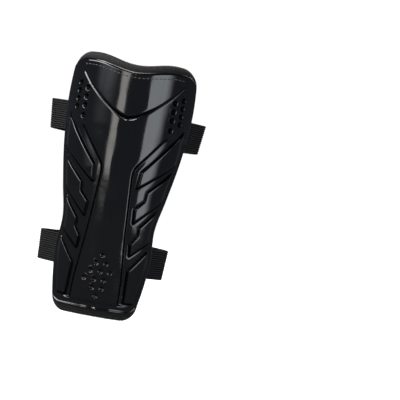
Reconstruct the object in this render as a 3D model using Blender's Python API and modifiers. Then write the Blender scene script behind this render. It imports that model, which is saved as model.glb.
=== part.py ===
"""Shin guard: a moulded shell on a foam pad, held to the leg by two elastic straps.

Frame: +Z runs up the shin, the shell faces -Y and the leg lies on the +Y side.
The origin is the point of the lining that bears on the shin, at mid height.
Lengths in this file are millimetres until mesh_object() and thread() scale them.
"""
import math

import bmesh
import bpy

MM = 0.001
TOUCH_GAP = 0.3          # room kept between pieces that touch

# Guard outline, seen from the front: half width at heights up the shin
HALF_WIDTHS = (
    (-108.0, 35.5), (-96.0, 37.5), (-77.0, 40.5), (-55.0, 42.3), (-31.0, 40.8), (-5.0, 45.6),
    (15.0, 49.3), (35.0, 52.2), (74.0, 54.6), (96.0, 53.4), (108.0, 52.2),
)
TOP_Z = 106.5            # the two shoulders of the top edge
TOP_DIP = 5.6            # how far the top edge dips between them
SHOULDER_X = 37.0
TOP_CORNER = 13.0
BOTTOM_Z = -107.0
BOTTOM_CORNER = 10.5

# The shell stops short of the pad's edge
SHELL_SIDE_MARGIN = 3.4
SHELL_TOP_MARGIN = 6.5
SHELL_BOTTOM_MARGIN = 6.6

# Layers, counted outwards from the face on the shin
LINING = 0.8
FOAM = 4.5
SHELL = 2.0
PAD_FACE = LINING + TOUCH_GAP + FOAM
SHELL_FACE = PAD_FACE + TOUCH_GAP + SHELL
BINDING = 0.8
BINDING_GAP = 0.7        # the binding stands off the cut edges it wraps

# The guard bends round the shin with a radius that grows up the leg
LINING_RADIUS = 50.0
RADIUS_PER_HEIGHT = 0.062
FLARE = 0.8              # the ankle end stands forward by this much
FLARE_START_Z = -40.0

# Straps: 25 mm elastic, laid round the calf and the ankle
STRAP_WIDTH = 25.0
STRAP = 1.6
PATCH_WIDTH = 21.0
PATCH = 0.8
THREAD_RADIUS = 0.25
SEWN_ANGLE = math.radians(18.0)      # length of a sewn end, as an angle round the shin
EDGE_CLEAR_ANGLE = math.radians(5.0)
CLOSURE_LIFT = STRAP + 2 * PATCH + 3 * TOUCH_GAP
STRAPS = (
    {"name": "upper", "z": 52.6, "spans": (63.0, 67.0), "widest_y": 54.0, "depth": 46.0, "lean": 6.5},
    {"name": "lower", "z": -58.2, "spans": (51.3, 55.6), "widest_y": 41.0, "depth": 37.0, "lean": 3.0},
)

# Stations along a strap: 0-1 sewn end, 1-2 bend, 2-4 round the calf, then the same in mirror
ROOT_HINGE = 1.14
PEEL_HINGE = 3.0
LIFT_START = 2.55
END_TIP = 3.56
SHORT_TIP = 3.08
LOOP_PATCH = (3.14, 3.70)
HOOK_PATCH = (3.16, 3.50)
HEM = (3.49, 3.55)
TACK = (0.18, 0.82)
HALF_HINGE_GAP = 0.8     # half the free length where a strap turns

COLUMNS = 20
SHELL_ROWS = 16
PAD_ROWS = 12


def clear_scene():
    for obj in list(bpy.data.objects):
        bpy.data.objects.remove(obj, do_unlink=True)


def new_collection(name):
    collection = bpy.data.collections.new(name)
    bpy.context.scene.collection.children.link(collection)
    return collection


def material(name, color, roughness, coat=0.0):
    mat = bpy.data.materials.new(name)
    mat.use_nodes = True
    shader = mat.node_tree.nodes["Principled BSDF"]
    shader.inputs["Base Color"].default_value = (*color, 1.0)
    shader.inputs["Roughness"].default_value = roughness
    shader.inputs["Metallic"].default_value = 0.0
    shader.inputs["Coat Weight"].default_value = coat
    return mat


def mesh_object(name, bm, mat, pivot=(0.0, 0.0, 0.0)):
    """Scale a millimetre bmesh to metres and give it an object with its origin at pivot."""
    bmesh.ops.translate(bm, verts=bm.verts, vec=[-value for value in pivot])
    bmesh.ops.scale(bm, verts=bm.verts, vec=(MM, MM, MM))
    bmesh.ops.recalc_face_normals(bm, faces=bm.faces)
    mesh = bpy.data.meshes.new(name)
    bm.to_mesh(mesh)
    bm.free()
    mesh.materials.append(mat)
    obj = bpy.data.objects.new(name, mesh)
    obj.location = [value * MM for value in pivot]
    parts.objects.link(obj)
    mesh.shade_smooth()
    mesh.set_sharp_from_angle(angle=math.radians(40))
    return obj


def thicken(obj, thickness, offset):
    shell = obj.modifiers.new("thickness", "SOLIDIFY")
    shell.thickness = thickness * MM
    shell.offset = offset
    shell.use_even_offset = False
    return obj


def curve_through(knots, at):
    """Smooth (cubic Hermite) value at a height, through (height, value) knots."""
    last = len(knots) - 1
    span = next((i for i in range(last) if at <= knots[i + 1][0]), last - 1)
    slopes = []
    for i in (span, span + 1):
        before, after = knots[max(i - 1, 0)], knots[min(i + 1, last)]
        slopes.append((after[1] - before[1]) / (after[0] - before[0]))
    (start, low), (end, high) = knots[span], knots[span + 1]
    length = end - start
    t = (at - start) / length
    return (
        low * (2 * t**3 - 3 * t**2 + 1) + high * (3 * t**2 - 2 * t**3)
        + length * slopes[0] * (t**3 - 2 * t**2 + t) + length * slopes[1] * (t**3 - t**2)
    )


def half_width(z):
    return curve_through(HALF_WIDTHS, min(max(z, HALF_WIDTHS[0][0]), HALF_WIDTHS[-1][0]))


def top_edge(x, side, down):
    """Height of the top edge at x, inside the side margin and the distance down."""
    corner = TOP_CORNER - side
    corner_x = half_width(TOP_Z - TOP_CORNER) - TOP_CORNER
    into_corner = max(abs(x) - corner_x, 0.0)
    rise = math.sin(math.pi / 2 * min(abs(x) / SHOULDER_X, 1.0)) ** 2
    drop = corner - math.sqrt(max(corner**2 - into_corner**2, 0.0))
    return TOP_Z - down - TOP_DIP * (1 - rise) - drop


def bottom_edge(x, side, up):
    corner = BOTTOM_CORNER - side
    corner_x = half_width(BOTTOM_Z + BOTTOM_CORNER) - BOTTOM_CORNER
    into_corner = max(abs(x) - corner_x, 0.0)
    return BOTTOM_Z + up + corner - math.sqrt(max(corner**2 - into_corner**2, 0.0))


def outline_point(u, v, side, top, bottom):
    """A point of the flat outline: u runs -1..1 across it, v 0..1 up it."""
    high = top_edge(u * (half_width(TOP_Z - TOP_CORNER) - side), side, top)
    low = bottom_edge(u * (half_width(BOTTOM_Z + BOTTOM_CORNER) - side), side, bottom)
    z = low + (high - low) * v
    return u * (half_width(z) - side), z


def lining_radius(z):
    return LINING_RADIUS + RADIUS_PER_HEIGHT * z


def bow(z):
    """The ankle end stands forward of the straight middle."""
    reach = (FLARE_START_Z - z) / (FLARE_START_Z - BOTTOM_Z)
    return -FLARE * max(reach, 0.0) ** 2


def guard_point(angle, z, height):
    radius = lining_radius(z) + height
    y = bow(z) + lining_radius(z) - radius * math.cos(angle)
    return radius * math.sin(angle), y, z


def guard_angle(x, z, height):
    return math.asin(x / (lining_radius(z) + height))


def column_u(i):
    """Columns crowd towards the edges, where the corners are round."""
    return math.sin(math.pi / 2 * (2 * i / COLUMNS - 1))


def curved_panel(name, mat, height, thickness, margins, rows):
    """A panel of the guard: its front face at a height over the shin, thickened inwards."""
    bm = bmesh.new()
    grid = []
    for i in range(COLUMNS + 1):
        column = []
        for j in range(rows + 1):
            x, z = outline_point(column_u(i), j / rows, *margins)
            column.append(bm.verts.new(guard_point(guard_angle(x, z, PAD_FACE), z, height)))
        grid.append(column)
    for i in range(COLUMNS):
        for j in range(rows):
            bm.faces.new((grid[i][j], grid[i + 1][j], grid[i + 1][j + 1], grid[i][j + 1]))
    obj = mesh_object(name, bm, mat)
    if obj.data.polygons[0].normal.y > 0:
        obj.data.flip_normals()
    return thicken(obj, thickness, -1.0)


def rim_points(side, top, bottom, rows):
    """Points once round a panel's edge, anticlockwise from the lower left corner."""
    low = [outline_point(column_u(i), 0.0, side, top, bottom) for i in range(COLUMNS)]
    right = [outline_point(1.0, j / rows, side, top, bottom) for j in range(rows)]
    high = [outline_point(column_u(i), 1.0, side, top, bottom) for i in range(COLUMNS, 0, -1)]
    left = [outline_point(-1.0, j / rows, side, top, bottom) for j in range(rows, 0, -1)]
    return low + right + high + left


def edge_binding(mat):
    """Overlocked edge: a band round the pad and the lining, thickened outwards."""
    bm = bmesh.new()
    rings = []
    for x, z in rim_points(-BINDING_GAP, -BINDING_GAP, -BINDING_GAP, PAD_ROWS):
        angle = guard_angle(x, z, PAD_FACE)
        ends = [bm.verts.new(guard_point(angle, z, height)) for height in (0.0, PAD_FACE)]
        rings.append(ends)
    for i, ring in enumerate(rings):
        following = rings[(i + 1) % len(rings)]
        bm.faces.new((ring[0], following[0], following[1], ring[1]))
    obj = mesh_object("edge_binding", bm, mat)
    lowest = min(obj.data.polygons, key=lambda face: face.center.z)
    if lowest.normal.z > 0:
        obj.data.flip_normals()
    return thicken(obj, BINDING, 1.0)


def strap_centre(strap, z, station, side=0):
    """Point (x, y) on a strap's centre line at a height and a station along it.

    The far half is worked out on this side, with its own span, and turned over.
    """
    if station > PEEL_HINGE:
        x, y = strap_centre(strap, z, 2 * PEEL_HINGE - station, 1)
        return -x, y
    half_span = strap["spans"][side] + math.tan(math.radians(strap["lean"])) * (z - strap["z"])
    lying = -(TOUCH_GAP + STRAP / 2)
    edge = guard_angle(half_width(z), z, PAD_FACE) + EDGE_CLEAR_ANGLE
    if station <= 1.0:
        return guard_point(edge - SEWN_ANGLE * (1 - station), z, lying)[:2]
    if station <= 2.0:
        start = guard_point(edge, z, lying)[:2]
        pull = 0.45 * (strap["widest_y"] - start[1])
        controls = (
            start,
            (start[0] + pull * math.cos(edge), start[1] + pull * math.sin(edge)),
            (half_span, strap["widest_y"] - pull),
            (half_span, strap["widest_y"]),
        )
        t = station - 1.0
        weights = ((1 - t) ** 3, 3 * t * (1 - t) ** 2, 3 * t**2 * (1 - t), t**3)
        return tuple(sum(w * c[k] for w, c in zip(weights, controls)) for k in (0, 1))
    turn = math.pi / 2 * (station - 2.0)
    return half_span * math.cos(turn), strap["widest_y"] + strap["depth"] * math.sin(turn)


def strap_point(strap, z, station, lift):
    """A point lifted off the centre line, away from the leg."""
    step = 0.004
    x0, y0 = strap_centre(strap, z, station - step)
    x1, y1 = strap_centre(strap, z, station + step)
    length = math.hypot(x1 - x0, y1 - y0)
    x, y = strap_centre(strap, z, station)
    return x + lift * (y1 - y0) / length, y - lift * (x1 - x0) / length, z


def closure_lift(station):
    """The long strap climbs over the short one before they meet."""
    t = min(max((station - LIFT_START) / (PEEL_HINGE - LIFT_START), 0.0), 1.0)
    return CLOSURE_LIFT * t * t * (3 - 2 * t)


def stations_between(start, end, steps):
    return [start + (end - start) * i / steps for i in range(steps + 1)]


def station_past(strap, station, distance):
    """The station a short distance on from a given one."""
    x0, y0 = strap_centre(strap, strap["z"], station)
    x1, y1 = strap_centre(strap, strap["z"], station + 0.01)
    return station + 0.01 * distance / math.hypot(x1 - x0, y1 - y0)


def band(strap, piece, mat, span, steps, lift, thickness, width, pivot=(0.0, 0.0, 0.0)):
    """A flat band that follows the strap between two stations, thickened both ways."""
    bm = bmesh.new()
    heights = [strap["z"] + width * side for side in (-0.5, 0.0, 0.5)]
    rows = []
    for station in stations_between(*span, steps):
        up = lift(station) if callable(lift) else lift
        rows.append([bm.verts.new(strap_point(strap, z, station, up)) for z in heights])
    for i in range(steps):
        for j in (0, 1):
            bm.faces.new((rows[i][j], rows[i + 1][j], rows[i + 1][j + 1], rows[i][j + 1]))
    obj = mesh_object(f"{strap['name']}_{piece}", bm, mat, pivot)
    return thicken(obj, thickness, 0.0)


def thread(name, points, mat, closed, pivot=(0.0, 0.0, 0.0)):
    """A sewing thread: a round tube along its points."""
    curve = bpy.data.curves.new(name, "CURVE")
    curve.dimensions = "3D"
    curve.bevel_depth = THREAD_RADIUS * MM
    curve.bevel_resolution = 1
    curve.use_fill_caps = not closed
    spline = curve.splines.new("POLY")
    spline.points.add(len(points) - 1)
    for target, point in zip(spline.points, points):
        target.co = (*[(value - origin) * MM for value, origin in zip(point, pivot)], 1.0)
    spline.use_cyclic_u = closed
    curve.materials.append(mat)
    obj = bpy.data.objects.new(name, curve)
    obj.location = [value * MM for value in pivot]
    parts.objects.link(obj)
    return obj


def box_stitch(strap, piece, mat, span, lift, pivot=(0.0, 0.0, 0.0)):
    """A rectangle of thread sewn round a patch or a strap's sewn end."""
    half = STRAP_WIDTH * 0.36
    low, high = strap["z"] - half, strap["z"] + half
    forward = stations_between(*span, 6)
    points = [strap_point(strap, low, s, lift) for s in forward]
    points += [strap_point(strap, high, s, lift) for s in reversed(forward)]
    return thread(f"{strap['name']}_{piece}", points, mat, True, pivot)


def shell_thread(mat):
    """The row of stitches that holds the shell to the pad, just below the shell's top edge."""
    below_edge = SHELL_TOP_MARGIN + 5.5
    lift = SHELL_FACE + TOUCH_GAP + THREAD_RADIUS
    points = []
    for i in range(-16, 17):
        x = SHOULDER_X * 1.02 * i / 16
        z = top_edge(x, SHELL_SIDE_MARGIN, below_edge)
        points.append(guard_point(guard_angle(x, z, SHELL_FACE), z, lift))
    return thread("shell_stitch_thread", points, mat, False)


def build_guard(mats):
    shell_margins = (SHELL_SIDE_MARGIN, SHELL_TOP_MARGIN, SHELL_BOTTOM_MARGIN)
    curved_panel("shell", mats["shell"], SHELL_FACE, SHELL, shell_margins, SHELL_ROWS)
    curved_panel("foam_pad", mats["foam"], PAD_FACE, FOAM, (0.0, 0.0, 0.0), PAD_ROWS)
    curved_panel("lining", mats["lining"], LINING, LINING, (0.0, 0.0, 0.0), PAD_ROWS)
    edge_binding(mats["binding"])
    shell_thread(mats["thread"])


def build_strap(strap, mats):
    """One strap: its long side sewn on at +X, its short side at -X, closed behind the leg."""
    root = (*strap_centre(strap, strap["z"], ROOT_HINGE), strap["z"])
    peel = strap_point(strap, strap["z"], PEEL_HINGE, CLOSURE_LIFT)
    before_root = station_past(strap, ROOT_HINGE, -HALF_HINGE_GAP)
    after_root = station_past(strap, ROOT_HINGE, HALF_HINGE_GAP)
    before_peel = station_past(strap, PEEL_HINGE, -HALF_HINGE_GAP)
    after_peel = station_past(strap, PEEL_HINGE, HALF_HINGE_GAP)
    mirror = 2 * PEEL_HINGE
    inner_thread = -(STRAP / 2 + TOUCH_GAP + THREAD_RADIUS)
    loop_lift = STRAP / 2 + TOUCH_GAP + PATCH / 2
    hook_lift = CLOSURE_LIFT - loop_lift
    outer_thread = CLOSURE_LIFT + STRAP / 2 + TOUCH_GAP + THREAD_RADIUS
    hem_lift = CLOSURE_LIFT + STRAP / 2 + TOUCH_GAP + PATCH / 2

    elastic = mats["elastic"]
    band(strap, "strap_sewn_end", elastic, (0.0, before_root), 7, 0.0, STRAP, STRAP_WIDTH)
    box_stitch(strap, "strap_tack", mats["thread"], TACK, inner_thread)
    band(strap, "strap", elastic, (after_root, before_peel), 30, closure_lift, STRAP, STRAP_WIDTH, root)
    band(strap, "strap_end", elastic, (after_peel, END_TIP), 9, CLOSURE_LIFT, STRAP, STRAP_WIDTH, peel)
    band(strap, "hook_patch", mats["hook"], HOOK_PATCH, 6, hook_lift, PATCH, PATCH_WIDTH, peel)
    hook_stitch = (HOOK_PATCH[0] + 0.03, HOOK_PATCH[1] - 0.04)
    box_stitch(strap, "hook_stitch", mats["thread"], hook_stitch, outer_thread, peel)
    band(strap, "strap_hem", elastic, HEM, 2, hem_lift, PATCH, STRAP_WIDTH - 1, peel)

    short_span = (SHORT_TIP, mirror)
    band(strap, "short_strap", elastic, short_span, 40, 0.0, STRAP, STRAP_WIDTH)
    tack_span = (mirror - TACK[1], mirror - TACK[0])
    box_stitch(strap, "short_strap_tack", mats["thread"], tack_span, inner_thread)
    band(strap, "loop_patch", mats["loop"], LOOP_PATCH, 8, loop_lift, PATCH, PATCH_WIDTH)
    loop_stitch = (LOOP_PATCH[0] + 0.03, LOOP_PATCH[1] - 0.03)
    box_stitch(strap, "loop_stitch", mats["thread"], loop_stitch, inner_thread)


clear_scene()
parts = new_collection("shin_guard")
materials = {
    "shell": material("shell_plastic", (0.012, 0.012, 0.013), 0.18, coat=0.5),
    "foam": material("foam", (0.02, 0.018, 0.017), 0.85),
    "lining": material("lining_fabric", (0.022, 0.021, 0.021), 0.9),
    "binding": material("binding_fabric", (0.015, 0.014, 0.014), 0.85),
    "thread": material("sewing_thread", (0.02, 0.02, 0.02), 0.6),
    "elastic": material("elastic_webbing", (0.012, 0.012, 0.013), 0.8),
    "hook": material("hook_tape", (0.016, 0.016, 0.016), 0.6),
    "loop": material("loop_tape", (0.02, 0.02, 0.02), 0.95),
}
build_guard(materials)
for one_strap in STRAPS:
    build_strap(one_strap, materials)
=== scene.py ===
"""The looks of the shin guard: glossy relief shell, foam pad, overlocked edge and ribbed elastic.

Meshes are worked out in millimetres, in the frame's own axes, and scaled to metres when they
are built. Lights, floor and camera are placed in metres.
"""
import math

import bpy
import numpy as np
from mathutils import Matrix, Vector


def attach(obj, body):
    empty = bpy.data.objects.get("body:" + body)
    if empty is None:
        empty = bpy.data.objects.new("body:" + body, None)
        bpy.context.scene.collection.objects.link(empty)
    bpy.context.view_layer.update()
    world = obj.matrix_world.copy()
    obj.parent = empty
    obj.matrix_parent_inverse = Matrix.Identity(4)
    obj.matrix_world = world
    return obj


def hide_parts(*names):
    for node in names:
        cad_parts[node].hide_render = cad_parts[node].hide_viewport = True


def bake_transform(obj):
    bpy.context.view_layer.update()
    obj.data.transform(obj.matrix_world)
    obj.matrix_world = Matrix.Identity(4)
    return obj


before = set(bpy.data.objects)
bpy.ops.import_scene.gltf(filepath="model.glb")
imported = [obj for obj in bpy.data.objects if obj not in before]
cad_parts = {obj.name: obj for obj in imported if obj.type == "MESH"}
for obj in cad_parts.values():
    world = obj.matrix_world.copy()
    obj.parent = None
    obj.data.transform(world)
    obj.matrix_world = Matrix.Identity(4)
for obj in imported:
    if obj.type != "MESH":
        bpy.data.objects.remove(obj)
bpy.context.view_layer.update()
MM = 0.001

# ---------------------------------------------------------------- guard outline and bend
HALF_WIDTHS = (
    (-108.0, 35.5), (-96.0, 37.5), (-77.0, 40.5), (-55.0, 42.3), (-31.0, 40.8), (-5.0, 45.6),
    (15.0, 49.3), (35.0, 52.2), (74.0, 54.6), (96.0, 53.4), (108.0, 52.2),
)
TOP_Z, TOP_DIP, SHOULDER_X, TOP_CORNER = 106.5, 5.6, 37.0, 13.0
BOTTOM_Z, BOTTOM_CORNER = -107.0, 10.5
SHELL_MARGINS = (4.0, 6.5, 6.6)      # side, top, bottom: how far the shell stops short
PAD_MARGIN = 0.8                     # the binding fills the rest of the outline
LINING, PAD_FACE, SHELL_BACK, SHELL_FACE = 0.8, 5.6, 5.9, 7.9
LINING_RADIUS, RADIUS_PER_HEIGHT = 50.0, 0.062
FLARE, FLARE_START_Z = 0.8, -40.0

# ---------------------------------------------------------------- straps
STRAP_WIDTH, STRAP, PATCH, GAP = 25.0, 1.6, 0.8, 0.3
SEWN_ANGLE, EDGE_CLEAR_ANGLE = math.radians(18.0), math.radians(5.0)
CLOSURE_LIFT = STRAP + 2 * PATCH + 3 * GAP
STRAPS = (
    {"name": "upper", "z": 52.6, "spans": (63.0, 67.0), "widest_y": 54.0, "depth": 46.0, "lean": 6.5},
    {"name": "lower", "z": -58.2, "spans": (51.3, 55.6), "widest_y": 41.0, "depth": 37.0, "lean": 3.0},
)
PEEL_HINGE, LIFT_START, END_TIP, SHORT_TIP = 3.0, 2.55, 3.56, 3.08
SPLIT, MIRROR = 2.5, 2 * PEEL_HINGE   # where the long elastic's two lengths meet; the far sewn end
HEM_SPAN, HOOK_SPAN, LOOP_SPAN = (3.49, 3.55), (3.16, 3.50), (3.14, 3.70)
PATCH_LIFT, PATCH_WIDTH = STRAP / 2 + GAP + PATCH / 2, 21.0
RIBS, RIB_DEPTH = 14, 0.6

# ---------------------------------------------------------------- moulded relief, right half
CREASE = (
    (0.0, 55.8), (4.0, 56.8), (9.0, 59.2), (17.0, 64.5), (25.0, 71.2), (33.7, 80.0), (41.4, 90.4),
    (46.0, 98.0),
)
FIELD_EDGE = ((37.0, 52.0), (33.0, 44.8), (11.5, 16.0), (15.0, -39.4), (18.9, -79.0), (19.3, -120.0))
FIELD_END_Z = -93.0
PANELS = (
    ((47.7, 54.1), (19.4, 15.2), (18.2, 1.2), (47.3, 29.3)),
    ((44.0, 19.2), (26.8, -0.2), (26.2, -7.8), (19.4, -15.0), (20.3, -27.0), (40.3, -4.1)),
    ((37.4, -13.8), (25.6, -29.6), (25.6, -36.5), (20.9, -43.8), (21.9, -53.6), (37.6, -36.7)),
    ((36.6, -45.5), (23.0, -65.2), (23.9, -92.0), (32.0, -91.5), (37.0, -58.0)),
)
SHOULDER_DIMPLES = (
    (36.0, 75.8), (36.0, 68.6), (36.0, 61.5), (36.0, 53.2),
    (42.5, 79.5), (42.5, 73.0), (42.5, 66.3), (42.5, 59.8),
)
DIAMOND_ROWS = (1, 2, 3, 3, 2, 1)
DIAMOND_TOP_Z, DIAMOND_ROW_PITCH, DIAMOND_PITCH = -55.5, 6.7, 8.0
DIAMOND_SHIFTS = (0.8, 0.8, 1.3, -2.7, 0.8, 0.8)


def hermite(knots, at):
    """Smooth curve through (place, value) knots, for an array of places."""
    places, values = np.array(knots, float).T
    at = np.clip(np.asarray(at, float), places[0], places[-1])
    slopes = np.gradient(values, places)
    i = np.clip(np.searchsorted(places, at, side="right") - 1, 0, len(places) - 2)
    length = places[i + 1] - places[i]
    t = (at - places[i]) / length
    low = values[i] * (2 * t**3 - 3 * t**2 + 1) + length * slopes[i] * (t**3 - 2 * t**2 + t)
    return low + values[i + 1] * (3 * t**2 - 2 * t**3) + length * slopes[i + 1] * (t**3 - t**2)


def smooth(t):
    t = np.clip(t, 0.0, 1.0)
    return t * t * (3 - 2 * t)


def chamfer(t, foot=0.25, top=0.25):
    """A straight slope from 0 to 1 whose two ends are rounded off."""
    low = np.clip(t + foot, 0, 2 * foot) ** 2 / (4 * foot) + np.maximum(t - foot, 0)
    high = np.clip(t - 1 + top, 0, 2 * top) ** 2 / (4 * top) + np.maximum(t - 1 - top, 0)
    return np.clip(low - high, 0, 1)


def half_width(z):
    return hermite(HALF_WIDTHS, z)


def edge_height(x, side, inset, top):
    """Height of the top or bottom edge at x, with its round corner."""
    z_edge, corner = (TOP_Z, TOP_CORNER) if top else (BOTTOM_Z, BOTTOM_CORNER)
    inward = -1.0 if top else 1.0
    corner_x = half_width(z_edge + inward * corner) - corner
    radius = corner - side
    into = np.maximum(np.abs(x) - corner_x, 0.0)
    drop = radius - np.sqrt(np.maximum(radius**2 - into**2, 0.0))
    if top:
        drop = drop + TOP_DIP * (1 - np.sin(np.pi / 2 * np.minimum(np.abs(x) / SHOULDER_X, 1.0)) ** 2)
    return z_edge + inward * (inset + drop)


def outline_point(u, v, side, top, bottom):
    """Flat outline: u runs -1..1 across, v 0..1 up."""
    high = edge_height(u * (half_width(TOP_Z - TOP_CORNER) - side), side, top, True)
    low = edge_height(u * (half_width(BOTTOM_Z + BOTTOM_CORNER) - side), side, bottom, False)
    z = low + (high - low) * v
    return u * (half_width(z) - side), z


def lining_radius(z):
    return LINING_RADIUS + RADIUS_PER_HEIGHT * z


def guard_point(angle, z, height):
    radius = lining_radius(z) + height
    flare = FLARE * np.maximum((FLARE_START_Z - z) / (FLARE_START_Z - BOTTOM_Z), 0.0) ** 2
    y = lining_radius(z) - flare - radius * np.cos(angle)
    return np.stack(np.broadcast_arrays(radius * np.sin(angle), y, z), axis=-1)


def guard_angle(x, z):
    return np.arcsin(x / (lining_radius(z) + PAD_FACE))


def arc_place(x, z, height=SHELL_FACE):
    """Distance round the guard from its centre line, so that relief keeps its true size."""
    radius = lining_radius(z) + height
    return radius * np.arcsin(np.clip(x / radius, -1, 1))


# ---------------------------------------------------------------- flat distances
def rounded(points, radius, steps=4):
    """A closed outline with each corner turned into a short curve."""
    points = [np.array(p, float) for p in points]
    out = []
    for i, corner in enumerate(points):
        before, after = points[i - 1], points[(i + 1) % len(points)]
        into, away = before - corner, after - corner
        cut = min(radius, 0.45 * np.linalg.norm(into), 0.45 * np.linalg.norm(away))
        start = corner + into / np.linalg.norm(into) * cut
        end = corner + away / np.linalg.norm(away) * cut
        for t in np.linspace(0, 1, steps + 1):
            out.append((1 - t) ** 2 * start + 2 * t * (1 - t) * corner + t**2 * end)
    return np.array(out)


def line_distance(s, z, points, closed):
    points = np.array(points, float)
    ends = np.roll(points, -1, axis=0) if closed else points[1:]
    nearest = np.full(s.shape, 1e9)
    for (x0, z0), (x1, z1) in zip(points, ends):
        dx, dz = x1 - x0, z1 - z0
        t = np.clip(((s - x0) * dx + (z - z0) * dz) / (dx * dx + dz * dz + 1e-12), 0, 1)
        nearest = np.minimum(nearest, np.hypot(s - x0 - t * dx, z - z0 - t * dz))
    return nearest


def is_inside(s, z, points):
    inside = np.zeros(s.shape, bool)
    for (x0, z0), (x1, z1) in zip(points, np.roll(points, -1, axis=0)):
        if z0 == z1:
            continue
        crosses = (z0 > z) != (z1 > z)
        inside ^= crosses & (s < (x1 - x0) * (z - z0) / (z1 - z0) + x0)
    return inside


def depth_inside(s, z, points):
    """Distance inside a closed outline, negative outside it."""
    return np.where(is_inside(s, z, points), 1.0, -1.0) * line_distance(s, z, points, True)


def in_arc(points):
    return [(float(arc_place(x, z)), z) for x, z in points]


# ---------------------------------------------------------------- relief of the shell
CREASE_HEIGHT, CREASE_END_HEIGHT = 1.5, 0.35
CREASE_WIDTH, CREASE_END_WIDTH = 2.6, 0.9
CREASE_TAPER, CREASE_REACH = 24.0, 42.5
CREASE_GROOVE, CREASE_GROOVE_WIDTH = 0.45, 0.65
PANEL_HEIGHT, PANEL_BEVEL, PANEL_MOAT = 1.4, 1.35, 0.2
PANEL_EDGE, PANEL_FADE = 0.6, 3.6    # panels sink away towards the shell's side
FIELD_STEP, FIELD_BEVEL, FIELD_FADE = 1.7, 1.5, 11.0
FAR_OUT = 120.0                      # past the shell's side
BORDER_STEP = 0.7
RELIEF_CLEAR_OF_EDGE = 2.5
HOLLOW_DEPTH, STEEP_SLOPE, STEEP_RANGE = 0.08, 0.42, 0.15      # what counts as a recess: there the shell material paints shade
RECESS_DULLNESS = 0.25
EDGE_RADIUS = 1.3
SHOULDER_DIMPLE, DIAMOND_DIMPLE = (2.5, 1.15), (2.2, 0.7)      # radius, depth


def diamond_places():
    for row, (count, shift) in enumerate(zip(DIAMOND_ROWS, DIAMOND_SHIFTS)):
        for i in range(count):
            yield shift + (i - (count - 1) / 2) * DIAMOND_PITCH, DIAMOND_TOP_Z - row * DIAMOND_ROW_PITCH


def dimple(s, z, place, radius, depth):
    """A round hollow with a soft raised lip."""
    r = np.hypot(s - place[0], z - place[1]) / radius
    return 0.14 * np.exp(-((r - 1.1) / 0.16) ** 2) - depth * np.clip(1 - r**2, 0, 1)


def across_guard(s, z):
    """How far out a place lies, from its arc round the shell."""
    radius = lining_radius(z) + SHELL_FACE
    return radius * np.sin(np.abs(s) / radius)


def crease_step(s, z):
    """The face above the V stands proud of the one below, by a chamfer widest at its tip."""
    x = across_guard(s, z)
    foot = hermite(CREASE, np.minimum(x, CREASE[-1][0]))
    slope = (hermite(CREASE, np.minimum(x + 0.5, CREASE[-1][0])) - foot) / 0.5
    share = np.clip(1 - x / CREASE_TAPER, 0, 1)
    width = CREASE_END_WIDTH + (CREASE_WIDTH - CREASE_END_WIDTH) * share
    height = CREASE_END_HEIGHT + (CREASE_HEIGHT - CREASE_END_HEIGHT) * share
    above = (z - foot) / np.sqrt(1 + slope**2)
    groove = CREASE_GROOVE * np.exp(-((above + 0.3) / CREASE_GROOVE_WIDTH) ** 2)
    return (height * chamfer(above / width, 0.15, 0.15) - groove) * smooth((CREASE_REACH - x) / 2.5)


def side_step(s, z):
    """The middle field stands proud of the sides, which rise again away from it."""
    edge = in_arc(FIELD_EDGE)
    region = rounded([*edge, (FAR_OUT, edge[-1][1]), (FAR_OUT, edge[0][1])], 6.0)
    inside = np.maximum(depth_inside(s, z, region), 0.0)
    away = np.where(inside > 0, line_distance(s, z, edge, False), 0.0)
    away = np.minimum(away, inside + 2.0)
    fall = chamfer(inside / FIELD_BEVEL) * np.exp(-np.maximum(away - FIELD_BEVEL, 0) / FIELD_FADE)
    return -FIELD_STEP * fall * smooth((50.0 - z) / 8)


def panel_rise(s, z):
    rise, moat = np.zeros(s.shape), np.zeros(s.shape)
    for points in PANELS:
        depth = depth_inside(s, z, rounded(in_arc(points), 0.8))
        rise = np.maximum(rise, PANEL_HEIGHT * chamfer(depth / PANEL_BEVEL + 0.5, 0.05, 0.4))
        moat = np.maximum(moat, PANEL_MOAT * np.exp(-(((depth + 0.75) / 0.6) ** 2)))
    moat *= smooth((z - FIELD_END_Z - 4) / 4)
    beyond = half_width(z) - SHELL_MARGINS[0] - across_guard(s, z)
    return (rise - moat) * smooth((beyond - PANEL_EDGE) / PANEL_FADE)


def unevenness(s, z):
    """The slight waves of a moulding, which break up its reflections."""
    return (
        0.05 * np.sin(0.071 * s + 0.049 * z + 0.6) + 0.035 * np.sin(0.163 * z - 0.045 * s)
        + 0.02 * np.sin(0.29 * s + 0.19 * z + 1.3)
    )


def shell_relief(s, z):
    half = np.abs(s)
    height = crease_step(s, z) + side_step(half, z) + panel_rise(half, z) + unevenness(s, z)
    for place in in_arc(SHOULDER_DIMPLES):
        height += dimple(half, z, place, *SHOULDER_DIMPLE)
    for place in diamond_places():
        height += dimple(s, z, place, *DIAMOND_DIMPLE)
    border = smooth((FIELD_END_Z - z) / 1.8)
    return height * (1 - border) - BORDER_STEP * border


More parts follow.
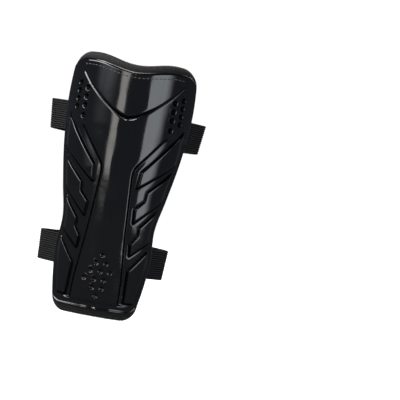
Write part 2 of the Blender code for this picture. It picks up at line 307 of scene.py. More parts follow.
# ---------------------------------------------------------------- meshes
class Builder:
    """Collects grids and tubes into one mesh."""

    def __init__(self):
        self.verts, self.faces, self.count, self.uvs = [], [], 0, []

    def add(self, points, uv=None):
        points = np.asarray(points, float).reshape(-1, 3)
        self.verts.append(points)
        self.uvs.append(np.zeros((len(points), 2)) if uv is None else np.reshape(uv, (-1, 2)))
        start = self.count
        self.count += len(points)
        return start

    def quads(self, a, b, c, d):
        self.faces.append(np.stack([np.ravel(k) for k in (a, b, c, d)], axis=1))

    def grid(self, points, uv=None):
        """Quads over a rows-by-columns array of points; returns its vertex numbers."""
        rows, columns = points.shape[:2]
        index = self.add(points, uv) + np.arange(rows * columns).reshape(rows, columns)
        self.quads(index[:-1, :-1], index[1:, :-1], index[1:, 1:], index[:-1, 1:])
        return index

    def tube(self, centres, radii, normals, sides=6, cyclic=False):
        """A round tube with closed ends along the centres."""
        centres = np.asarray(centres, float)
        if cyclic:
            tangent = np.roll(centres, -1, axis=0) - np.roll(centres, 1, axis=0)
        else:
            tangent = np.gradient(centres, axis=0)
        tangent /= np.linalg.norm(tangent, axis=1, keepdims=True)
        across = np.cross(tangent, normals)
        across /= np.linalg.norm(across, axis=1, keepdims=True)
        upward = np.cross(across, tangent)
        turn = np.arange(sides) * 2 * np.pi / sides
        cosine, sine = np.cos(turn)[None, :, None], np.sin(turn)[None, :, None]
        ring = cosine * across[:, None] + sine * upward[:, None]
        radii = np.broadcast_to(np.asarray(radii, float), (len(centres),))
        points = centres[:, None] + ring * radii[:, None, None]
        start = self.add(points)
        index = start + np.arange(len(centres) * sides).reshape(len(centres), sides)
        following = np.roll(index, -1, axis=0) if cyclic else index[1:]
        here = index if cyclic else index[:-1]
        self.quads(here, np.roll(here, -1, axis=1), np.roll(following, -1, axis=1), following)
        if not cyclic:
            self.faces.append(index[:1, ::-1])
            self.faces.append(index[-1:])

    def build(self, name, mat, sharp=60):
        mesh = bpy.data.meshes.new(name)
        verts = np.concatenate(self.verts) * MM
        mesh.from_pydata(verts.tolist(), [], [list(f) for block in self.faces for f in block.tolist()])
        mesh.validate()
        layer = mesh.uv_layers.new(name="UVMap")
        uvs = np.concatenate(self.uvs)
        corners = np.zeros(len(mesh.loops), int)
        mesh.loops.foreach_get("vertex_index", corners)
        layer.data.foreach_set("uv", uvs[corners].ravel())
        mesh.shade_smooth()
        mesh.set_sharp_from_angle(angle=math.radians(sharp))
        mesh.materials.append(mat)
        obj = bpy.data.objects.new(name, mesh)
        bpy.context.scene.collection.objects.link(obj)
        return obj


def closed_panel(builder, front, back, coarser=1):
    """Front and back grids joined round their edge; the back keeps one point in coarser."""
    face = builder.grid(front)
    rear = builder.grid(back[::-1][::coarser, ::coarser])[::-1]
    rim = [
        (face[0, :], rear[0, :]), (face[:, -1], rear[:, -1]),
        (face[-1, ::-1], rear[-1, ::-1]), (face[::-1, 0], rear[::-1, 0]),
    ]
    for near, far in rim:
        strips = [near[k:len(near) - coarser + k:coarser] for k in range(coarser)]
        builder.faces.append(np.stack([*strips, near[coarser::coarser], far[1:], far[:-1]], axis=1))


def outline_grid(columns, rows, margins):
    u = np.sin(np.pi / 2 * np.linspace(-1, 1, columns + 1))
    u = 0.35 * u + 0.65 * np.linspace(-1, 1, columns + 1)
    v = np.linspace(0, 1, rows + 1)
    v = 0.5 * v + 0.5 * smooth(v)
    return outline_point(u[:, None], v[None, :], *margins)


def rim_line(margins, count=1500):
    """Places round the edge, evenly spaced, starting at the bottom left."""
    t = np.linspace(0, 1, count, endpoint=False)
    around = np.sin(np.pi / 2 * (2 * t - 1))
    parts = [
        outline_point(around, np.zeros(count), *margins),
        outline_point(np.ones(count), t, *margins),
        outline_point(-around, np.ones(count), *margins),
        outline_point(-np.ones(count), 1 - t, *margins),
    ]
    return np.concatenate([np.stack(part, axis=1) for part in parts])


def edge_distance(x, z, margins):
    """Distance from the panel's edge, measured on the bent surface."""
    rim = rim_line(margins, 40)
    places = np.stack([arc_place(rim[:, 0], rim[:, 1]), rim[:, 1]], axis=1)
    return line_distance(arc_place(x, z), z, places, True)


def rolled_edge(distance, radius):
    near = np.clip(radius - distance, 0, radius)
    return np.sqrt(radius**2 - near**2) - radius


# ---------------------------------------------------------------- materials
def principled(name, color, roughness, **sockets):
    """A material and its shader; sockets are set by name, with _ for a space."""
    mat = bpy.data.materials.new(name)
    mat.use_nodes = True
    shader = mat.node_tree.nodes["Principled BSDF"]
    shader.inputs["Base Color"].default_value = (*color, 1.0)
    shader.inputs["Roughness"].default_value = roughness
    for socket, value in sockets.items():
        shader.inputs[socket.replace("_", " ")].default_value = value
    return mat


def add_node(owner, kind, **settings):
    """A node of a material, light or world; settings are sockets, with _ for a space, or properties."""
    node = owner.node_tree.nodes.new(kind)
    for key, value in settings.items():
        socket = key.replace("_", " ")
        if socket in node.inputs:
            node.inputs[socket].default_value = value
        else:
            setattr(node, key, value)
    return node


def link(owner, source, target):
    owner.node_tree.links.new(source, target)


def coordinates(mat, output="Object", stretch=(1.0, 1.0, 1.0)):
    source = add_node(mat, "ShaderNodeTexCoord")
    mapping = add_node(mat, "ShaderNodeMapping", Scale=stretch)
    link(mat, source.outputs[output], mapping.inputs["Vector"])
    return mapping.outputs["Vector"]


def noise(mat, vector, scale, detail=3.0):
    node = add_node(mat, "ShaderNodeTexNoise", Scale=scale, Detail=detail)
    link(mat, vector, node.inputs["Vector"])
    return node.outputs["Fac"]


WAVE_PERIOD = math.pi / 10      # of a wave texture, in its own coordinates


def wave(mat, vector, scale, direction, distortion=0.0):
    node = add_node(mat, "ShaderNodeTexWave", Scale=scale, Distortion=distortion)
    node.bands_direction = direction
    link(mat, vector, node.inputs["Vector"])
    return node.outputs["Fac"]


def multiply(mat, first, second):
    node = add_node(mat, "ShaderNodeMath", operation="MULTIPLY")
    link(mat, first, node.inputs[0])
    link(mat, second, node.inputs[1])
    return node.outputs[0]


def bump(mat, height, distance, before=None):
    node = add_node(mat, "ShaderNodeBump", Distance=distance * MM, Strength=1.0)
    link(mat, height, node.inputs["Height"])
    if before is not None:
        link(mat, before, node.inputs["Normal"])
    link(mat, node.outputs["Normal"], mat.node_tree.nodes["Principled BSDF"].inputs["Normal"])
    return node.outputs["Normal"]


def vary(mat, value, socket, low, high):
    """Drive a socket from a 0..1 value, between two numbers or two colours."""
    target = mat.node_tree.nodes["Principled BSDF"].inputs[socket]
    if isinstance(low, tuple):
        ramp = add_node(mat, "ShaderNodeMix", data_type="RGBA")
        link(mat, value, ramp.inputs["Factor"])
        ramp.inputs[6].default_value = (*low, 1.0)
        ramp.inputs[7].default_value = (*high, 1.0)
        link(mat, ramp.outputs[2], target)
    else:
        span = add_node(mat, "ShaderNodeMapRange", From_Min=0.3, From_Max=0.7, To_Min=low, To_Max=high)
        link(mat, value, span.inputs["Value"])
        link(mat, span.outputs["Result"], target)


SHELL_BLACK = ((0.0032, 0.0034, 0.0042), (0.0062, 0.0062, 0.0070))


def shell_material():
    """Polished plastic, rougher in the recesses and on the steep walls of the moulding, with painted
    shade there: its reflection is taken away, so they show black.
    """
    mat = principled("shell_plastic", SHELL_BLACK[0], 0.08, IOR=1.6)
    vector = coordinates(mat)
    vary(mat, noise(mat, vector, 60.0), "Roughness", 0.05, 0.11)
    sockets = mat.node_tree.nodes["Principled BSDF"].inputs
    recess_shade = add_node(mat, "ShaderNodeAttribute", attribute_name="recess_shade").outputs["Fac"]
    rougher = add_node(mat, "ShaderNodeMath", operation="MULTIPLY_ADD")
    rougher.inputs[1].default_value = RECESS_DULLNESS
    link(mat, recess_shade, rougher.inputs[0])
    link(mat, sockets["Roughness"].links[0].from_socket, rougher.inputs[2])
    link(mat, rougher.outputs[0], sockets["Roughness"])
    link(mat, recess_shade, sockets["Metallic"])      # painted shade: with a black base colour, this takes the gloss away in the recesses and on steep walls
    vary(mat, noise(mat, vector, 25.0), "Base Color", *SHELL_BLACK)
    flow = noise(mat, coordinates(mat, stretch=(900.0, 900.0, 60.0)), 1.0)
    bump(mat, flow, 0.012, bump(mat, noise(mat, vector, 90.0), 0.06))
    return mat


def foam_material():
    mat = principled("foam", (0.014, 0.012, 0.011), 0.78, Sheen_Weight=0.06, Sheen_Roughness=0.5)
    vector = coordinates(mat)
    vary(mat, noise(mat, vector, 300.0), "Base Color", (0.006, 0.0054, 0.005), (0.013, 0.0112, 0.010))
    cells = add_node(mat, "ShaderNodeTexVoronoi", Scale=1700.0)
    link(mat, vector, cells.inputs["Vector"])
    bump(mat, noise(mat, vector, 500.0), 0.10, bump(mat, cells.outputs["Distance"], 0.08))
    return mat


def knit_material(name, dark, light, pitch):
    """Warp-knit cloth: fine wales up the leg, crossed by courses."""
    mat = principled(name, dark, 0.85, Sheen_Weight=0.35, Sheen_Roughness=0.4)
    scale = 1.0 / (pitch * MM)
    vector = coordinates(mat)
    wales = wave(mat, vector, scale / 6.3, "X", 0.6)
    courses = wave(mat, vector, scale / 4.5, "Z", 0.6)
    knit = multiply(mat, wales, courses)
    vary(mat, knit, "Base Color", dark, light)
    bump(mat, knit, 0.12, bump(mat, noise(mat, vector, 220.0), 0.10))
    return mat


def elastic_material():
    """Ribbed elastic, crossed by fine picks, with painted shade darkening the grooves between its ribs.
    """
    mat = principled("elastic_webbing", (0.012, 0.012, 0.012), 0.8, Specular_IOR_Level=0.25)
    vector = coordinates(mat, "UV")
    picks = wave(mat, vector, 0.42, "X", 0.8)
    strands = noise(mat, coordinates(mat, "UV", (1.4, 9.0, 1.0)), 1.0)
    groove_shade = wave(mat, vector, WAVE_PERIOD * RIBS / STRAP_WIDTH, "Y")
    # painted shade: the colour goes nearly black in the grooves between the ribs
    vary(mat, groove_shade, "Base Color", (0.0004, 0.0004, 0.0006), (0.046, 0.045, 0.046))
    bump(mat, picks, 0.07, bump(mat, strands, 0.06))
    return mat


def thread_material():
    mat = principled("sewing_thread", (0.070, 0.068, 0.066), 0.5, Sheen_Weight=0.2)
    twist = wave(mat, coordinates(mat), 900.0, "DIAGONAL", 0.5)
    vary(mat, twist, "Base Color", (0.045, 0.044, 0.043), (0.110, 0.107, 0.104))
    bump(mat, twist, 0.05)
    return mat


def tape_material(name, dark, light, scale, depth, roughness):
    """Hook tape in stiff rows, or loop tape in soft pile."""
    mat = principled(name, dark, roughness, Sheen_Weight=0.4, Sheen_Roughness=0.5)
    cells = add_node(mat, "ShaderNodeTexVoronoi", Scale=scale)
    link(mat, coordinates(mat, "UV"), cells.inputs["Vector"])
    vary(mat, cells.outputs["Distance"], "Base Color", light, dark)
    bump(mat, cells.outputs["Distance"], -depth)
    return mat


# ---------------------------------------------------------------- guard pieces
SHELL_GRID, PAD_GRID, LINING_GRID = (224, 408), (152, 152), (90, 120)
SHELL_BACK_COARSER, PAD_BACK_COARSER = 4, 2
STITCH_PITCH, STITCH, STITCH_RADIUS = 3.5, 2.3, 0.42
STITCH_BELOW_EDGE = 5.2
OVERLOCK_PITCH, OVERLOCK_REACH, OVERLOCK_RADIUS = 1.45, 3.0, 0.24
RIM_LENGTH = 620.0                   # about the way round the pad, which sets the stitches' slant
PRESSED_DEPTH, PRESSED_WIDTH = 1.5, 4.5


def softened(heights):
    """Each height averaged with its neighbours, so that slanting edges run even."""
    padded = np.pad(heights, 1, mode="edge")
    across = padded[:, :-2] + 2 * padded[:, 1:-1] + padded[:, 2:]
    return (across[:-2] + 2 * across[1:-1] + across[2:]) / 16


def mark_recess_shade(shell, relief, s, z):
    """Store on the front's vertices where the relief is hollow or steep, from 0 to 1; the shell
    material paints shade there.
    """
    hollow = (softened(softened(relief)) - relief) / HOLLOW_DEPTH
    across = np.gradient(relief, axis=0) / np.gradient(s, axis=0)
    upward = np.gradient(relief, axis=1) / np.gradient(z, axis=1)
    steep = (np.hypot(across, upward) - STEEP_SLOPE) / STEEP_RANGE
    recess_shade = np.zeros(len(shell.data.vertices))
    recess_shade[:relief.size] = np.clip(np.maximum(hollow, steep), 0, 1).ravel()
    shell.data.attributes.new("recess_shade", "FLOAT", "POINT").data.foreach_set("value", recess_shade)


def make_shell(mat):
    x, z = outline_grid(*SHELL_GRID, SHELL_MARGINS)
    angle = guard_angle(x, z)
    s = (lining_radius(z) + SHELL_FACE) * angle
    rim = rim_line(SHELL_MARGINS, 60)
    rim_s = (lining_radius(rim[:, 1]) + SHELL_FACE) * guard_angle(rim[:, 0], rim[:, 1])
    from_edge = line_distance(s, z, np.stack([rim_s, rim[:, 1]], axis=1), True)
    relief = softened(shell_relief(s, z))
    raised = relief * smooth(from_edge / RELIEF_CLEAR_OF_EDGE)
    front = guard_point(angle, z, SHELL_FACE + raised + rolled_edge(from_edge, EDGE_RADIUS))
    builder = Builder()
    closed_panel(builder, front, guard_point(angle, z, SHELL_BACK), SHELL_BACK_COARSER)
    shell = builder.build("shell_moulding", mat)
    mark_recess_shade(shell, relief, s, z)
    return shell


def pad_surface(from_edge, x, z):
    """Height of the foam's front: pressed thinner and rolled over towards its edge."""
    pressed = PRESSED_DEPTH * (1 - smooth(from_edge / PRESSED_WIDTH))
    soft = 0.06 * np.sin(0.9 * x + 0.4 * z) * np.sin(0.31 * x - 0.7 * z)
    return PAD_FACE - 0.15 - pressed + soft + rolled_edge(from_edge, 1.6)


def make_pad(mat):
    margins = (PAD_MARGIN,) * 3
    x, z = outline_grid(*PAD_GRID, margins)
    angle = guard_angle(x, z)
    height = pad_surface(edge_distance(x, z, margins), x, z)
    builder = Builder()
    back = guard_point(angle, z, LINING + 0.2)
    closed_panel(builder, guard_point(angle, z, height), back, PAD_BACK_COARSER)
    return builder.build("foam_backing", mat)


def make_lining(mat):
    margins = (PAD_MARGIN,) * 3
    x, z = outline_grid(*LINING_GRID, margins)
    angle = guard_angle(x, z)
    from_edge = edge_distance(x, z, margins)
    creases = 0.12 * np.sin(0.16 * x + 0.5) * np.sin(0.055 * z) + 0.05 * np.sin(0.35 * z + 0.2 * x)
    back = 0.15 + creases * smooth(from_edge / 8) - rolled_edge(from_edge, 0.5)
    builder = Builder()
    closed_panel(builder, guard_point(angle, z, LINING + 0.15), guard_point(angle, z, back))
    return builder.build("knit_lining", mat)


def even_places(line, pitch):
    """Fractional places along a closed line, a whole number of pitches apart."""
    steps = np.linalg.norm(np.diff(np.vstack([line, line[:1]]), axis=0), axis=1)
    length = np.concatenate([[0], np.cumsum(steps)])
    count = int(round(length[-1] / pitch))
    return np.interp(np.arange(count) / count * length[-1], length, np.arange(len(line) + 1))


def make_overlock(mat):
    """Overlock stitches: threads that wrap the cut edge of foam and lining."""
    front = PAD_FACE - PRESSED_DEPTH - 0.15
    reach, bulge = OVERLOCK_REACH, OVERLOCK_RADIUS
    wrap = (
        (reach, front + 0.9, 0.9), (0.55 * reach, front + 0.45, 0.6), (0.25, front - 0.55, 0.3),
        (-bulge, 0.62 * front, 0.1), (-bulge, 0.28 * front, -0.1), (0.3, -0.12, -0.3),
        (0.5 * reach, -0.15, -0.6), (reach, 0.0, -0.9),
    )
    rims = [rim_line((PAD_MARGIN + inward,) * 3) for inward, _, _ in wrap]
    count = len(rims[0])
    angle = guard_angle(rims[3][:, 0], rims[3][:, 1])
    places = even_places(guard_point(angle, rims[3][:, 1], PAD_FACE), OVERLOCK_PITCH)
    mid = guard_point(angle, rims[3][:, 1], 0.45 * front)
    builder = Builder()
    per_mm = count / RIM_LENGTH
    lines = []
    for rim, (_, height, slant) in zip(rims, wrap):
        at = places + slant * per_mm
        x, z = (np.interp(at, np.arange(-count, 2 * count), np.tile(rim[:, k], 3)) for k in (0, 1))
        lines.append(guard_point(guard_angle(x, z), z, height))
    stitches = np.stack(lines, axis=1)
    well_in = rim_line((8.0,) * 3)
    inner = guard_point(guard_angle(well_in[:, 0], well_in[:, 1]), well_in[:, 1], 2.0)
    for place, stitch in zip(places, stitches):
        core = inner[int(place) % count]
        builder.tube(stitch, OVERLOCK_RADIUS, stitch - core, sides=5)
    for ends in (stitches[:, 0], stitches[:, -1]):
        builder.tube(ends, 0.2, ends - mid[places.astype(int) % count], sides=5, cyclic=True)
    return builder.build("overlocked_edge", mat)


def sew(builder, points, normals, pitch=STITCH_PITCH, length=STITCH, radius=STITCH_RADIUS):
    """Separate stitches along a line: each dives into the surface at both ends."""
    steps = np.linalg.norm(np.diff(points, axis=0), axis=1)
    place = np.concatenate([[0], np.cumsum(steps)])
    share = np.array([0.0, 0.12, 0.5, 0.88, 1.0])
    lift = np.array([-0.35, 0.12, 0.24, 0.12, -0.35])
    for start in np.arange(0.3, place[-1] - length, pitch):
        at = start + share * length
        centre = np.stack([np.interp(at, place, points[:, k]) for k in range(3)], axis=1)
        normal = np.stack([np.interp(at, place, normals[:, k]) for k in range(3)], axis=1)
        builder.tube(centre + normal * lift[:, None], radius * np.array([0.5, 1, 1.05, 1, 0.5]), normal)


def make_shell_stitches(mat):
    x = np.linspace(-40.0, 40.0, 300)
    z = edge_height(x, SHELL_MARGINS[0], SHELL_MARGINS[1] + STITCH_BELOW_EDGE, True)
    angle = guard_angle(x, z)
    s = (lining_radius(z) + SHELL_FACE) * angle
    points = guard_point(angle, z, SHELL_FACE + shell_relief(s, z) + 0.08)
    normals = np.stack([np.sin(angle), -np.cos(angle), 0 * angle], axis=1)
    builder = Builder()
    sew(builder, points, normals)
    return builder.build("shell_stitches", mat)


# ---------------------------------------------------------------- strap pieces
def strap_centre(strap, z, station, side=0):
    """Point (x, y) on a strap's centre line: stations as in the frame's own straps."""
    if station > PEEL_HINGE:
        x, y = strap_centre(strap, z, MIRROR - station, 1)
        return -x, y
    half_span = strap["spans"][side] + math.tan(math.radians(strap["lean"])) * (z - strap["z"])
    lying = -(GAP + STRAP / 2)
    edge = float(guard_angle(half_width(z), z)) + EDGE_CLEAR_ANGLE
    if station <= 1.0:
        return tuple(guard_point(edge - SEWN_ANGLE * (1 - station), z, lying)[:2])
    if station <= 2.0:
        start = guard_point(edge, z, lying)[:2]
        pull = 0.45 * (strap["widest_y"] - start[1])
        controls = (
            start,
            (start[0] + pull * math.cos(edge), start[1] + pull * math.sin(edge)),
            (half_span, strap["widest_y"] - pull),
            (half_span, strap["widest_y"]),
        )
        t = station - 1.0
        weights = ((1 - t) ** 3, 3 * t * (1 - t) ** 2, 3 * t**2 * (1 - t), t**3)
        return tuple(sum(w * c[k] for w, c in zip(weights, controls)) for k in (0, 1))
    turn = math.pi / 2 * (station - 2.0)
    return half_span * math.cos(turn), strap["widest_y"] + strap["depth"] * math.sin(turn)


def closure_lift(station):
    return CLOSURE_LIFT * float(smooth((station - LIFT_START) / (PEEL_HINGE - LIFT_START)))


def strap_lines(strap, stations):
    """Centre lines along the strap's lower and upper edge, and the outward normals."""
    low_z, high_z = strap["z"] - STRAP_WIDTH / 2, strap["z"] + STRAP_WIDTH / 2
    low = np.array([(*strap_centre(strap, low_z, s), low_z) for s in stations])
    high = np.array([(*strap_centre(strap, high_z, s), high_z) for s in stations])
    step = 0.004
    before = np.array([strap_centre(strap, strap["z"], s - step) for s in stations])
    after = np.array([strap_centre(strap, strap["z"], s + step) for s in stations])
    along = (after - before) / np.linalg.norm(after - before, axis=1, keepdims=True)
    normals = np.stack([along[:, 1], -along[:, 0], np.zeros(len(stations))], axis=1)
    return low, high, normals


def strap_band(name, mat, strap, span, lift, thickness, width, ribs=0, steps=100):
    """A woven band with round selvedges and, on elastic, ribs along its length."""
    stations = np.linspace(*span, steps + 1)
    low, high, normals = strap_lines(strap, stations)
    lifts = np.array([lift(s) if callable(lift) else lift for s in stations])
    samples = 5 * ribs + 1 if ribs else 25
    across = np.linspace(-0.5, 0.5, samples)
    half = thickness / 2
    near_edge = np.clip((np.abs(across) * width - width / 2 + half) / half, 0, 1)
    profile = half * np.sqrt(np.clip(1 - near_edge**2, 0.04, 1))
    if ribs:
        profile = profile - RIB_DEPTH * (1 - np.sqrt(np.abs(np.sin(np.pi * ribs * (across + 0.5)))))
    share = np.concatenate([across, across[::-1]]) * width / STRAP_WIDTH + 0.5
    depth = np.concatenate([profile, -profile[::-1]])
    points = (
        low[:, None] * (1 - share)[None, :, None] + high[:, None] * share[None, :, None]
        + normals[:, None] * (depth[None, :, None] + lifts[:, None, None])
    )
    run = np.concatenate([[0], np.cumsum(np.linalg.norm(np.diff(low, axis=0), axis=1))])
    uv = np.stack(np.broadcast_arrays(run[:, None], (share * STRAP_WIDTH)[None, :]), axis=-1)
    builder = Builder()
    count = points.shape[0] * points.shape[1]
    index = builder.add(points, uv) + np.arange(count).reshape(points.shape[:2])
    beside = np.roll(index, -1, axis=1)
    builder.quads(index[:-1], index[1:], beside[1:], beside[:-1])
    builder.faces.append(index[:1])
    builder.faces.append(index[-1:, ::-1])
    return builder.build(name, mat)


def box_stitches(name, mat, strap, span, lift, outer):
    """A sewn rectangle on one face of a strap."""
    stations = np.linspace(*span, 14)
    low, high, normals = strap_lines(strap, stations)
    face = normals * lift
    inset = 0.14
    lower = low * (1 - inset) + high * inset + face
    upper = low * inset + high * (1 - inset) + face
    facing = normals if outer else -normals
    rise = np.linspace(0, 1, 12)[:, None]
    runs = [
        (lower, facing), (upper, facing),
        (lower[0] * (1 - rise) + upper[0] * rise, np.repeat(facing[:1], 12, axis=0)),
        (lower[-1] * (1 - rise) + upper[-1] * rise, np.repeat(facing[-1:], 12, axis=0)),
    ]
    builder = Builder()
    for points, away in runs:
        sew(builder, points, away, pitch=2.6, length=1.9, radius=0.24)
    return builder.build(name, mat)


# ---------------------------------------------------------------- putting it together
def dress(obj, body, slot, *nodes):
    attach(obj, body)
    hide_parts(*nodes)
    return obj


def station_point(strap, station, lift=0.0):
    low, high, normals = strap_lines(strap, [station])
    return Vector(((low[0] + high[0]) / 2 + normals[0] * lift) * MM)


def make_guard():
    thread = thread_material()
    dress(make_shell(shell_material()), "guard", "shell_plastic", "shell")
    pad = dress(make_pad(foam_material()), "guard", "foam", "foam_pad")
    lining = knit_material("lining_fabric", (0.014, 0.0135, 0.013), (0.034, 0.032, 0.031), 1.1)
    dress(make_lining(lining), "guard", "lining_fabric", "lining")
    overlock = knit_material("binding_thread", (0.030, 0.028, 0.027), (0.075, 0.071, 0.067), 0.5)
    dress(make_overlock(overlock), "guard", "binding_fabric", "edge_binding")
    dress(make_shell_stitches(thread), "guard", "sewing_thread", "shell_stitch_thread")
    return thread


def make_strap(strap, elastic, thread, hook, loop):
    """One strap: long elastic in two lengths, its patches and seams, and the short elastic."""
    name = strap["name"]

    def band(piece, mat, span, lift, thickness, width, steps, ribs=0):
        return strap_band(f"{name}_{piece}", mat, strap, span, lift, thickness, width, ribs, steps)

    def seam(piece, node, span, seam_body, lift):
        stitches = box_stitches(f"{name}_{piece}", thread, strap, span, lift, lift > 0)
        dress(stitches, seam_body, "sewing_thread", f"{name}_{node}")

    root = band("elastic_root", elastic, (0.0, SPLIT), closure_lift, STRAP, STRAP_WIDTH, 130, RIBS)
    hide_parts(f"{name}_strap_sewn_end", f"{name}_strap")
    station_point(strap, 1.0)
    station_point(strap, 1.3)
    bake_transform(root)
    tail = band("elastic_tail", elastic, (SPLIT, END_TIP), closure_lift, STRAP, STRAP_WIDTH, 70, RIBS)
    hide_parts(f"{name}_strap_end")
    bend = station_point(strap, PEEL_HINGE, CLOSURE_LIFT)
    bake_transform(tail)

    body = f"{name}_strap_end"
    hem = band("folded_hem", elastic, HEM_SPAN, CLOSURE_LIFT + 1.35, 0.9, 24.4, 8, RIBS)
    dress(hem, body, "elastic_webbing", f"{name}_strap_hem")
    hooks = band("hooks", hook, HOOK_SPAN, CLOSURE_LIFT - PATCH_LIFT, PATCH, PATCH_WIDTH, 30)
    dress(hooks, body, "hook_tape", f"{name}_hook_patch")
    seam("hook_stitches", "hook_stitch", (3.19, 3.46), body, CLOSURE_LIFT + STRAP / 2)

    short = band("elastic_short", elastic, (SHORT_TIP, MIRROR), 0.0, STRAP, STRAP_WIDTH, 150, RIBS)
    dress(short, "guard", "elastic_webbing", f"{name}_short_strap")
    loops = band("loops", loop, LOOP_SPAN, PATCH_LIFT, PATCH, PATCH_WIDTH, 40)
    dress(loops, "guard", "loop_tape", f"{name}_loop_patch")
    seam("loop_stitches", "loop_stitch", (3.17, 3.67), "guard", -STRAP / 2)
    seam("tack", "strap_tack", (0.18, 0.82), "guard", -STRAP / 2)
    seam("short_tack", "short_strap_tack", (MIRROR - 0.82, MIRROR - 0.18), "guard", -STRAP / 2)


# ---------------------------------------------------------------- lights, floor and camera
def multiplied(owner, levels):
    """The product of a list of sockets."""
    product = levels[0]
    for level in levels[1:]:
        product = multiply(owner, product, level)
    return product


def area_light(name, place, size, power, color, fades=(0.0, 0.0, 0.0, 0.0)):
    """A softbox whose light fades in over a share of its left, right, bottom and top."""
    light = bpy.data.lights.new(name, "AREA")
    light.shape = "RECTANGLE"
    light.size, light.size_y = size
    light.energy = power
    light.color = color
    light.use_nodes = True
    across = add_node(light, "ShaderNodeNewGeometry")
    split = add_node(light, "ShaderNodeSeparateXYZ")
    link(light, across.outputs["Parametric"], split.inputs[0])
    left, right, bottom, top = fades
    levels = []
    for axis, start, end in (("X", 0, left), ("X", 1, 1 - right), ("Y", 0, bottom), ("Y", 1, 1 - top)):
        if start != end:
            ramp = add_node(light, "ShaderNodeMapRange", From_Min=start, From_Max=end)
            ramp.interpolation_type = "SMOOTHSTEP"
            link(light, split.outputs[axis], ramp.inputs["Value"])
            levels.append(ramp.outputs["Result"])
    if levels:
        link(light, multiplied(light, levels), light.node_tree.nodes["Emission"].inputs["Strength"])
    obj = bpy.data.objects.new(name, light)
    obj.location = place
    obj.rotation_euler = (Vector(LOOKED_AT) - Vector(place)).to_track_quat("-Z", "Y").to_euler()
    obj.visible_camera = False
    bpy.context.scene.collection.objects.link(obj)


def round_the_guard(degrees, distance, height):
    """A place in front of the guard, turned towards its +X side."""
    turn = math.radians(degrees)
    return (distance * math.sin(turn), -distance * math.cos(turn), height)


LOOKED_AT = (0.0, 0.010, 0.0)
COOL, WARM, NEUTRAL = (0.90, 0.95, 1.0), (1.0, 0.96, 0.91), (1.0, 1.0, 1.0)
EVEN_FADE = (0.15, 0.15, 0.15, 0.15)
LIGHTS = (                            # name, place, size, watts, colour, fades
    ("wide_softbox", round_the_guard(46, 1.3, 0.14), (0.80, 1.0), 7.6, COOL, (0.06, 0.5, 0.33, 0.12)),
    ("narrow_strip", round_the_guard(-21, 1.9, 0.48), (0.48, 1.12), 6.0, WARM, (0.3, 0.12, 0.13, 0.0)),
    ("left_rail", round_the_guard(-46, 1.2, 0.45), (1.9, 0.20), 14.0, NEUTRAL, (0.05, 0.8, 0.15, 0.15)),
    ("left_high", round_the_guard(-76, 0.62, 1.12), (0.50, 0.50), 8.0, NEUTRAL, (0.1, 0.1, 0.1, 0.1)),
    ("tip_spot", round_the_guard(0, 1.1, 0.49), (0.10, 0.10), 1.0, NEUTRAL),
    ("top_softbox", (-0.3, 0.1, 1.35), (0.7, 0.6), 7.0, NEUTRAL, EVEN_FADE),
    ("left_glow", round_the_guard(-46, 1.3, 0.37), (0.9, 0.7), 3.6, COOL, (0.5, 0.5, 0.6, 0.3)),
    ("back_softbox", (0.1, 1.3, 0.8), (1.2, 1.0), 18.0, NEUTRAL, (0.3, 0.3, 0.3, 0.3)),
)
ROOM_LOW, ROOM_HIGH, SEEN_ROOM = 0.125, 0.04, 1.05     # how bright the room looks in reflections
ROOM_TINT = (0.90, 0.97, 1.14, 1.0)


def make_world():
    """A white backdrop for the camera; a dim room, darker overhead, for everything else."""
    world = bpy.data.worlds.new("studio")
    bpy.context.scene.world = world
    world.use_nodes = True
    background = world.node_tree.nodes["Background"]
    is_camera = add_node(world, "ShaderNodeLightPath").outputs["Is Camera Ray"]
    direction = add_node(world, "ShaderNodeTexCoord")
    split = add_node(world, "ShaderNodeSeparateXYZ")
    link(world, direction.outputs["Generated"], split.inputs[0])
    room = add_node(
        world, "ShaderNodeMapRange", From_Min=0.08, From_Max=0.5, To_Min=ROOM_LOW, To_Max=ROOM_HIGH,
    )
    link(world, split.outputs["Z"], room.inputs["Value"])
    level = add_node(world, "ShaderNodeMapRange", To_Max=SEEN_ROOM)
    link(world, room.outputs["Result"], level.inputs["To Min"])
    link(world, is_camera, level.inputs["Value"])
    link(world, level.outputs["Result"], background.inputs["Strength"])
    tint = add_node(world, "ShaderNodeMix", data_type="RGBA")
    tint.inputs[6].default_value = ROOM_TINT
    tint.inputs[7].default_value = (1.0, 1.0, 1.0, 1.0)
    link(world, is_camera, tint.inputs[0])
    link(world, tint.outputs[2], background.inputs["Color"])


def make_floor(name, size, z, base, glow_color, glow):
    """A pale plane that gives off a little light of its own."""
    bpy.ops.mesh.primitive_plane_add(size=size, location=(0.0, 0.0, z))
    floor = bpy.context.object
    floor.name = name
    mat = principled(
        f"{name}_paint", (base, base, base), 0.9, Specular_IOR_Level=0.0,
        Emission_Color=glow_color, Emission_Strength=glow,
    )
    floor.data.materials.append(mat)
    floor.visible_diffuse = False
    return floor


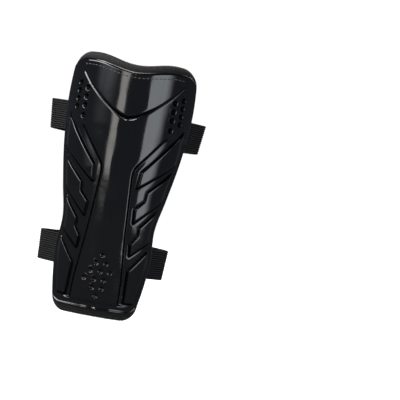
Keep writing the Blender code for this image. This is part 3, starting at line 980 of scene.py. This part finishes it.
def make_stage():
    for light in LIGHTS:
        area_light(*light)
    make_world()
    seen = make_floor("studio_floor", 60.0, -0.1105, 0.6, (1.0, 1.0, 1.0, 1.0), 0.97)
    seen.visible_glossy = False
    mirrored = make_floor("floor_in_reflections", 8.0, -0.112, 0.0, (0.92, 0.96, 1.0, 1.0), 0.15)
    mirrored.visible_camera = mirrored.visible_shadow = False


LENS, SENSOR, VIEW_WIDTH = 100.0, 36.0, 0.328
GUARD_OFFSET = (-0.069454, 0.010742)  # the guard's middle, right and up of the view's middle
GUARD_ROLL = math.radians(10.5)
CAMERA_AZIMUTH, CAMERA_ELEVATION = math.radians(-1.5), 0.0


def make_camera():
    distance = LENS / SENSOR * VIEW_WIDTH
    to_camera = Vector((
        math.sin(CAMERA_AZIMUTH) * math.cos(CAMERA_ELEVATION),
        -math.cos(CAMERA_AZIMUTH) * math.cos(CAMERA_ELEVATION),
        math.sin(CAMERA_ELEVATION),
    ))
    level_right = Vector((0, 0, 1)).cross(to_camera).normalized()
    level_up = to_camera.cross(level_right)
    right = level_right * math.cos(GUARD_ROLL) + level_up * math.sin(GUARD_ROLL)
    up = to_camera.cross(right)
    place = Vector(LOOKED_AT) + to_camera * distance - right * GUARD_OFFSET[0] - up * GUARD_OFFSET[1]
    camera = bpy.data.cameras.new("camera")
    camera.lens, camera.sensor_width = LENS, SENSOR
    obj = bpy.data.objects.new("camera", camera)
    axes = Matrix((right, up, to_camera)).transposed()
    obj.matrix_world = Matrix.Translation(place) @ axes.to_4x4()
    bpy.context.scene.collection.objects.link(obj)
    bpy.context.scene.camera = obj


make_camera()
make_stage()
sewing_thread = make_guard()
webbing = elastic_material()
hook_tape = tape_material("hook_tape", (0.010, 0.010, 0.010), (0.040, 0.040, 0.040), 1.1, 0.25, 0.5)
loop_tape = tape_material("loop_tape", (0.012, 0.012, 0.012), (0.035, 0.034, 0.033), 0.8, 0.35, 0.95)
for one_strap in STRAPS:
    make_strap(one_strap, webbing, sewing_thread, hook_tape, loop_tape)
bpy.context.scene.view_settings.view_transform = "Standard"
